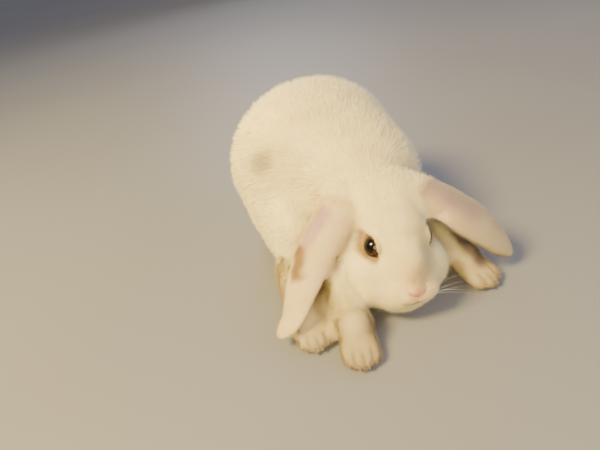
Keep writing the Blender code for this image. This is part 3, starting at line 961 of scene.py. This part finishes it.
# %% Scatter the roots
mesh = skin.data
mesh.calc_loop_triangles()
triangles = numbers(mesh.loop_triangles, "vertices", 3).astype(int)
corner_a, corner_b, corner_c = spots[triangles].transpose(1, 0, 2)
area = np.linalg.norm(np.cross(corner_b - corner_a, corner_c - corner_a), axis=1) / 2 / MM ** 2
wanted = area * density[triangles].mean(1)
MARKS = sorted(marks)
field = np.column_stack([spots, outward, ways, length, width, height, *[marks[m] for m in MARKS]])
REGIONS = {
    "coat_face": ("head",),
    "coat_nape": ("neck",),
    "coat_back": ("trunk",),
    "coat_haunches": ("haunch_left", "haunch_right", "tail"),
    "coat_ear_right": ("ear_right",),
    "coat_ear_left": ("ear_left",),
    "coat_legs": tuple(n for n in FLESH if n.startswith(("fore", "hind"))),
}
PART_LIMIT = 190000
BENT = {"coat_nape", "coat_back", "coat_haunches"}
FULLNESS = 1.0


def scattered(chosen, draw):
    """Roots on the chosen triangles of the skin: interpolated values, and the map place of each."""
    share = wanted[chosen]
    count = int(share.sum() * FULLNESS)
    picked = chosen[np.searchsorted(np.cumsum(share), np.sort(draw.random(count)) * share.sum())]
    one, two = np.sqrt(draw.random(count)), draw.random(count)
    shares = np.stack([1 - one, one * (1 - two), one * two], 1)
    rows = (field[triangles[picked]] * shares[:, :, None]).sum(1)
    nearest = triangles[picked, shares.argmax(1)]
    return rows, on_map(rows[:, :3], map_face[nearest])


def turned_about(vectors, axes, angles):
    """Vectors turned about axes they are square to."""
    cosine, sine = np.cos(angles)[:, None], np.sin(angles)[:, None]
    return vectors * cosine + np.cross(axes, vectors) * sine


print("tufts wanted:", {r: int(wanted[np.isin(kin[triangles[:, 0]], k)].sum()) for r, k in REGIONS.items()})

# %% [markdown]
# ## The shape of a tuft
# A tuft is a narrow blade that leaves the skin slanting, bends over and ends in a point. Short hair gets
# by with one triangle and the long hair of the body has three, so that it can bend. The blades are rolled
# a little and their ways waver, because combed, equal blades look like straw. The tips of long hair lean
# towards each other in small locks, and a few hairs stand up above the rest, which gives the body its
# faint mottling and its soft outline.

# %% Shape the blades
from mathutils.kdtree import KDTree

ROLL, WAVER, SINK = 0.50, 0.13, 0.3
LOCK_SIZE, LOCK_PULL = 2.6 * MM, 0.18
STRAY, STRAY_RISE, STRAY_WIDTH = 0.18, 1.25, 0.7
BEND_RISE, BEND_WIDTH = 0.16, 0.85
FLOOR_GAP = 0.3 * MM
FACE_TRIANGLE = np.array([[0, 1, 2]])
BENT_TRIANGLES = np.array([[0, 1, 3], [0, 3, 2], [2, 3, 4]])


def drawn_together(tips, roots, draw):
    """Moves each tip part of the way to the middle of its lock."""
    count = max(int(len(roots) / (LOCK_SIZE / MM) ** 2 / 3), 2)
    tree = KDTree(count)
    for i, place in enumerate(roots[draw.permutation(len(roots))[:count]]):
        tree.insert(place, i)
    tree.balance()
    lock = np.array([tree.find(root)[1] for root in roots])
    size = np.maximum(np.bincount(lock, minlength=count), 1)
    middle = np.stack([np.bincount(lock, column, count) / size for column in tips.T], 1)
    return tips + (middle[lock] - tips) * LOCK_PULL, draw.random(count)[lock]


def blades(rows, bent, draw):
    """Corners, normals and place along the blade for every blade, and a tone for each lock."""
    count = len(rows)
    root, normal, way = rows[:, :3], unit(rows[:, 3:6]), rows[:, 6:9]
    long, wide, high = rows[:, 9:12].T
    way = laid_flat(way, normal)
    bend = WAVER * wobble(root, 7 * MM, 31) + WAVER * draw.normal(size=count)
    way = turned_about(way, normal, bend)
    side = turned_about(np.cross(way, normal), way, draw.uniform(-ROLL, ROLL, count))
    long = long * draw.uniform(0.72, 1.08, count)
    stray = draw.random(count) < STRAY
    risen, usual = draw.uniform(1.0, 1.0 + STRAY_RISE, count), draw.uniform(0.6, 1.0, count)
    high = high * np.where(stray, risen, usual)
    wide = wide * np.where(stray, STRAY_WIDTH, 1.0) * draw.uniform(0.75, 1.2, count) / 2
    tip = root + way * (long * 0.95)[:, None] + normal * high[:, None]
    tone = draw.random(count)
    if bent:
        tip, lock_tone = drawn_together(tip, root, draw)
        tone = 0.5 * tone + 0.5 * lock_tone
    tip[:, 2] = np.maximum(tip[:, 2], FLOOR_GAP)
    foot = root - normal * (SINK * MM)
    across = side * wide[:, None]
    corners = [foot - across, foot + across]
    along = [0, 0]
    if bent:
        middle = root + (tip - root) * 0.5 + normal * (high * BEND_RISE)[:, None]
        corners += [middle - across * BEND_WIDTH, middle + across * BEND_WIDTH]
        along += [0.5, 0.5]
    corners = np.stack(corners + [tip], 1)
    flat = unit(np.cross(side, tip - foot))
    soft = unit(0.70 * normal + 0.30 * flat)
    return corners, soft, np.array(along + [1.0]), tone


print("blade settings: roll", ROLL, "waver", WAVER)

# %% [markdown]
# ## From blades to pieces of coat
# The coat is parted as a furrier would part it: face, nape, back, haunches, ears and legs. One mesh would
# be too heavy to handle, so a piece that grows too large is split again. The blades shade with the
# normals of the skin below them, mixed with a little of their own, because thousands of separate facets
# would glitter.

# %% Turn blades into pieces of coat
PATCH = 0.003
INSET = 0.01 * MM
FACE_SPREAD = [(-1, -1), (1, -1), (0, 1)]
BENT_SPREAD = [(-1, -1), (1, -1), (-0.8, 0), (0.8, 0), (0, 1)]


def coat_piece(name, rows, flat, bent, owners, draw):
    corners, soft, along, tone = blades(rows, bent, draw)
    count, per = corners.shape[:2]
    pattern = BENT_TRIANGLES if bent else FACE_TRIANGLE
    faces = (np.arange(count)[:, None, None] * per + pattern).reshape(-1, 3)
    mesh = bpy.data.meshes.new(name)
    mesh.vertices.add(count * per)
    inside = np.clip(corners.reshape(-1, 3), np.array(cad_low) + INSET, np.array(cad_high) - INSET)
    mesh.vertices.foreach_set("co", inside.astype(np.float32).ravel())
    mesh.loops.add(faces.size)
    mesh.loops.foreach_set("vertex_index", faces.ravel().astype(np.int32))
    mesh.polygons.add(len(faces))
    mesh.polygons.foreach_set("loop_start", np.arange(0, faces.size, 3, dtype=np.int32))
    mesh.update(calc_edges=True)
    layer = mesh.attributes.new("custom_normal", "FLOAT_VECTOR", "POINT")
    layer.data.foreach_set("vector", np.repeat(soft, per, 0).astype(np.float32).ravel())
    spread = np.array(BENT_SPREAD if bent else FACE_SPREAD)
    places = flat[:, None] + spread * PATCH / 2
    uv = mesh.uv_layers.new(name="OFBake")
    uv.data.foreach_set("uv", places.reshape(-1, 2)[faces.ravel()].astype(np.float32).ravel())
    columns = {m: np.repeat(rows[:, 12 + i], per) for i, m in enumerate(MARKS)}
    keep_values(mesh, along=np.tile(along, count), lock=np.repeat(tone, per), **columns)
    made = linked(name, mesh)
    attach(made, "root")
    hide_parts(*owners)
    "ear_coat" if "ear" in name else "coat"
    return made


coats = []
for seed, (name, owners) in enumerate(REGIONS.items()):
    draw = np.random.default_rng(100 + seed)
    chosen = np.flatnonzero(np.isin(kin[triangles[:, 0]], owners))
    rows, flat = scattered(chosen, draw)
    bent = name in BENT
    per_blade = len(BENT_TRIANGLES if bent else FACE_TRIANGLE)
    parts = int(np.ceil(len(rows) * per_blade / PART_LIMIT))
    order = np.argsort(rows[:, 0], kind="stable")
    for k, part in enumerate(np.array_split(order, parts), 1):
        label = name if parts == 1 else f"{name}_{k}"
        coats.append(coat_piece(label, rows[part], flat[part], bent, owners, draw))
print({c.name: len(c.data.polygons) for c in coats}, "in all", sum(len(c.data.polygons) for c in coats))

# %% [markdown]
# ## Whiskers
# Whiskers are stiff, tapering hairs that grow in rows from the pads beside the nose, with a few over each
# eye. They are mesh like everything else: thin three-sided tubes along a drooping curve, pale so that
# they hardly show.

# %% Grow the whiskers
WHISKER_ROOTS = [(7.5, -21.5), (8.5, -23.5), (9.5, -20.5), (10.5, -22.8), (11.5, -25.0), (9.0, -25.8)]
BROW_ROOTS = [(9.0, 9.5), (11.0, 10.5)]
IN_FRONT = -60
BROW_SHARE = 0.55
WHISKER_WIDTH, WHISKER_STEPS, DROOP = 0.11 * MM, 9, 0.28
skin_tree = search_tree(spots, [p.vertices[:] for p in skin.data.polygons])


def whisker(root, way, reach, thick):
    """Corners and faces of one tapering tube that droops towards its end."""
    side = way.cross(UP).normalized()
    verts, faces = [], []
    for k in range(WHISKER_STEPS):
        t = k / (WHISKER_STEPS - 1)
        middle = root + way * reach * t - UP * reach * DROOP * t * t
        radius = thick / 2 * (1 - 0.85 * t)
        for corner in range(3):
            angle = corner * math.tau / 3
            offset = side * math.cos(angle) + UP * math.sin(angle)
            verts.append(middle + offset * radius)
    for k in range(WHISKER_STEPS - 1):
        for corner in range(3):
            a, b = k * 3 + corner, k * 3 + (corner + 1) % 3
            faces.append((a, b, b + 3, a + 3))
    faces += [(2, 1, 0), tuple(range(len(verts) - 3, len(verts)))]
    return verts, faces


draw = np.random.default_rng(7)
verts, faces = [], []
for s in SIDES.values():
    starts = [(on_head(u * s, IN_FRONT, v), 1.0) for u, v in WHISKER_ROOTS]
    starts += [(on_head(u * s, IN_FRONT, v), BROW_SHARE) for u, v in BROW_ROOTS]
    for start, share in starts:
        hit = skin_tree.ray_cast(start, BACK)
        if hit[0] is None:
            continue
        way = LEFT * s * draw.uniform(0.75, 1.0) + BACK * draw.uniform(-0.1, 0.45)
        way += UP * draw.uniform(-0.2, 0.3)
        if share < 1:
            way = LEFT * s * 0.6 + UP * 0.8 - BACK * draw.uniform(0, 0.3)
        reach = draw.uniform(24, 34) * MM * share
        root = hit[0] - hit[1] * 0.5 * MM
        new_verts, new_faces = whisker(root, way.normalized(), reach, WHISKER_WIDTH)
        faces += [tuple(len(verts) + i for i in face) for face in new_faces]
        verts += new_verts
whiskers = new_piece("whiskers", verts, faces, ["head"], "whisker")
print(len(verts) // (3 * WHISKER_STEPS), "whiskers")

# %% [markdown]
# ## Colours of skin and coat
# One recipe mixes the markings for both, so skin and coat always agree. The coat is a warm cream-white.
# Pink is skin that shows through thin hair, and rust is stained hair. Lilac is a haze along the ears, wider
# on the left ear as painted shade. Fawn is a smudge on the right flank and painted shade on the left ear.
# The slate-grey mark is painted shade only: that ear's shadow on the left foreleg and the shaded left ear.
# Brown is stain round the claws and painted shade in the toe grooves. Dark is the wet rim of the lids,
# with painted shade in the nostrils and along the mouth.

# %% The recipe for the markings
CREAM = ((0.87, 0.748, 0.37), (0.92, 0.818, 0.46))
TINTS = {
    "pink": (0.78, 0.40, 0.27),
    # lilac: a haze along the ears, partly painted shade on the left ear
    "lilac": (0.50, 0.30, 0.40),
    # fawn: a smudge on the right flank, and painted shade on the left ear
    "fawn": (0.17, 0.128, 0.095),
    # slate-grey painted shade: the left ear's shadow on the foreleg, and the shaded left ear
    "slate": (0.065, 0.048, 0.080),
    "rust": (0.25, 0.115, 0.018),
    # brown: stain round the claws, and painted shade in the toe grooves
    "brown": (0.22, 0.115, 0.06),
    # dark: the lid rims, and painted shade in the nostrils and along the mouth
    "dark": (0.030, 0.018, 0.016),
}


def marked(place, strength):
    """Cream, mottled a little, with every mark mixed over it by its strength in this finish."""
    colour = place.noise(14 * MM, 3).ramp((0.35, CREAM[0]), (0.65, CREAM[1]))
    for name, tint in TINTS.items():
        colour = colour.blend(tint, place.attribute(name) * strength[name])
    return colour


print("tints:", ", ".join(TINTS))

# %% [markdown]
# ## Fur
# Plush fur scatters light so much that it has no clear shine, only a soft glow at its edges. A shader for
# single hairs needs strands, and these are blades, so a rough surface with some sheen stands in for it.
# The roots are painted a little darker than the tips as painted shade deep in the coat, and each lock has
# its own tone at random, which makes the coat look deep.

# %% Finish for the coat
COAT_STRENGTH = {"pink": 0.60, "lilac": 0.65, "fawn": 0.8, "slate": 0.9, "rust": 0.90,
                 "brown": 0.88, "dark": 0.9}
ROOT_SHADE, ROOT_SHARE, LOCK_SHARE = (0.42, 0.33, 0.23), 0.16, 0.16
coat_finish, shader, place = new_finish(
    "short_plush_fur", Roughness=0.62, Specular_IOR_Level=0.22, Sheen_Weight=0.25, Sheen_Roughness=0.45)
# painted shade darkens the roots, and each lock is darkened a random amount for its own tone
shade = (1.0 - place.attribute("along")) * ROOT_SHARE + place.attribute("lock") * LOCK_SHARE
feed(marked(place, COAT_STRENGTH).blend(ROOT_SHADE, shade), shader, "Base Color")
for coat in coats:
    coat.data.materials.append(coat_finish)
print("fur on", len(coats), "pieces of coat")

# %% [markdown]
# ## Skin and underfur
# Between the tufts one sees the downy underfur rather than bare skin. It could be a second, denser coat,
# but that would double the weight, so the skin takes the same markings, a shade warmer, with a fine grain
# as a bump.

# %% Finish for the skin
SKIN_STRENGTH = {"pink": 0.95, "lilac": 0.75, "fawn": 0.8, "slate": 0.9, "rust": 0.9,
                 "brown": 0.9, "dark": 1.0}
WARMTH, WARM_SHARE = (0.55, 0.38, 0.26), 0.08
skin_finish, shader, place = new_finish("skin_with_underfur", Roughness=0.6, Specular_IOR_Level=0.3)
feed(marked(place, SKIN_STRENGTH).blend(WARMTH, WARM_SHARE), shader, "Base Color")
grain = place.noise(0.5 * MM, 2)
bump = grain.node("ShaderNodeBump", {}, {"Height": grain, "Strength": 0.5, "Distance": 0.25 * MM})
feed(bump, shader, "Normal")
skin.data.materials.clear()
skin.data.materials.append(skin_finish)
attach(skin, "root")
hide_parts(*FLESH)
print("skin finished")

# %% [markdown]
# ## The wet eye
# A real eye is a clear dome over a deep brown iris. A glass dome with a separate iris is possible, but at
# this size rings drawn round the way it looks do the same: a black pupil, a dark brown iris and a darker
# edge, with the pink third lid in the front corner. A clear coat makes it wet.

# %% Finish for the eyes
BLACK, WHITE = (0, 0, 0), (1, 1, 1)
PUPIL, RIM, THIRD_LID = (0.004, 0.003, 0.003), (0.012, 0.007, 0.006), (0.10, 0.036, 0.030)
eye_finish, shader, place = new_finish(
    "wet_eye", Roughness=0.07, Specular_IOR_Level=0.25, Coat_Weight=0.14, Coat_Roughness=0.03)
lean = place.attribute("lean") * (1 / 90)
streak = place.noise(0.6 * MM, 3)
iris = streak.ramp((0.3, (0.018, 0.008, 0.005)), (0.7, (0.055, 0.023, 0.010)))
pupil = lean.ramp((0.40, WHITE), (0.50, BLACK))
edge = lean.ramp((0.62, BLACK), (0.72, WHITE))
corner = place.attribute("front").ramp((0.86, BLACK), (0.94, WHITE))
colour = iris.blend(PUPIL, pupil).blend(RIM, edge).blend(THIRD_LID, corner)
feed(colour, shader, "Base Color")
for eye in eyes.values():
    eye.data.materials.append(eye_finish)
print("eyes finished")

# %% [markdown]
# ## Horn and bristle
# Claws are dull brown horn that catches a little light, and whiskers are pale, springy bristle. Both are
# so small that a soft change of tone along each is all they need.

# %% Finishes for claws and whiskers
horn_finish, shader, place = new_finish("horn", Roughness=0.38)
feed(place.noise(1.2 * MM).ramp((0.3, (0.15, 0.09, 0.055)), (0.7, (0.28, 0.19, 0.12))), shader, "Base Color")
for claw in claw_pieces:
    claw.data.materials.clear()
    claw.data.materials.append(horn_finish)
bristle_finish, shader, place = new_finish("bristle", Roughness=0.45)
feed(place.noise(4 * MM).ramp((0.3, (0.80, 0.76, 0.68)), (0.7, (0.92, 0.89, 0.82))), shader, "Base Color")
whiskers.data.materials.append(bristle_finish)
print("horn and bristle finished")
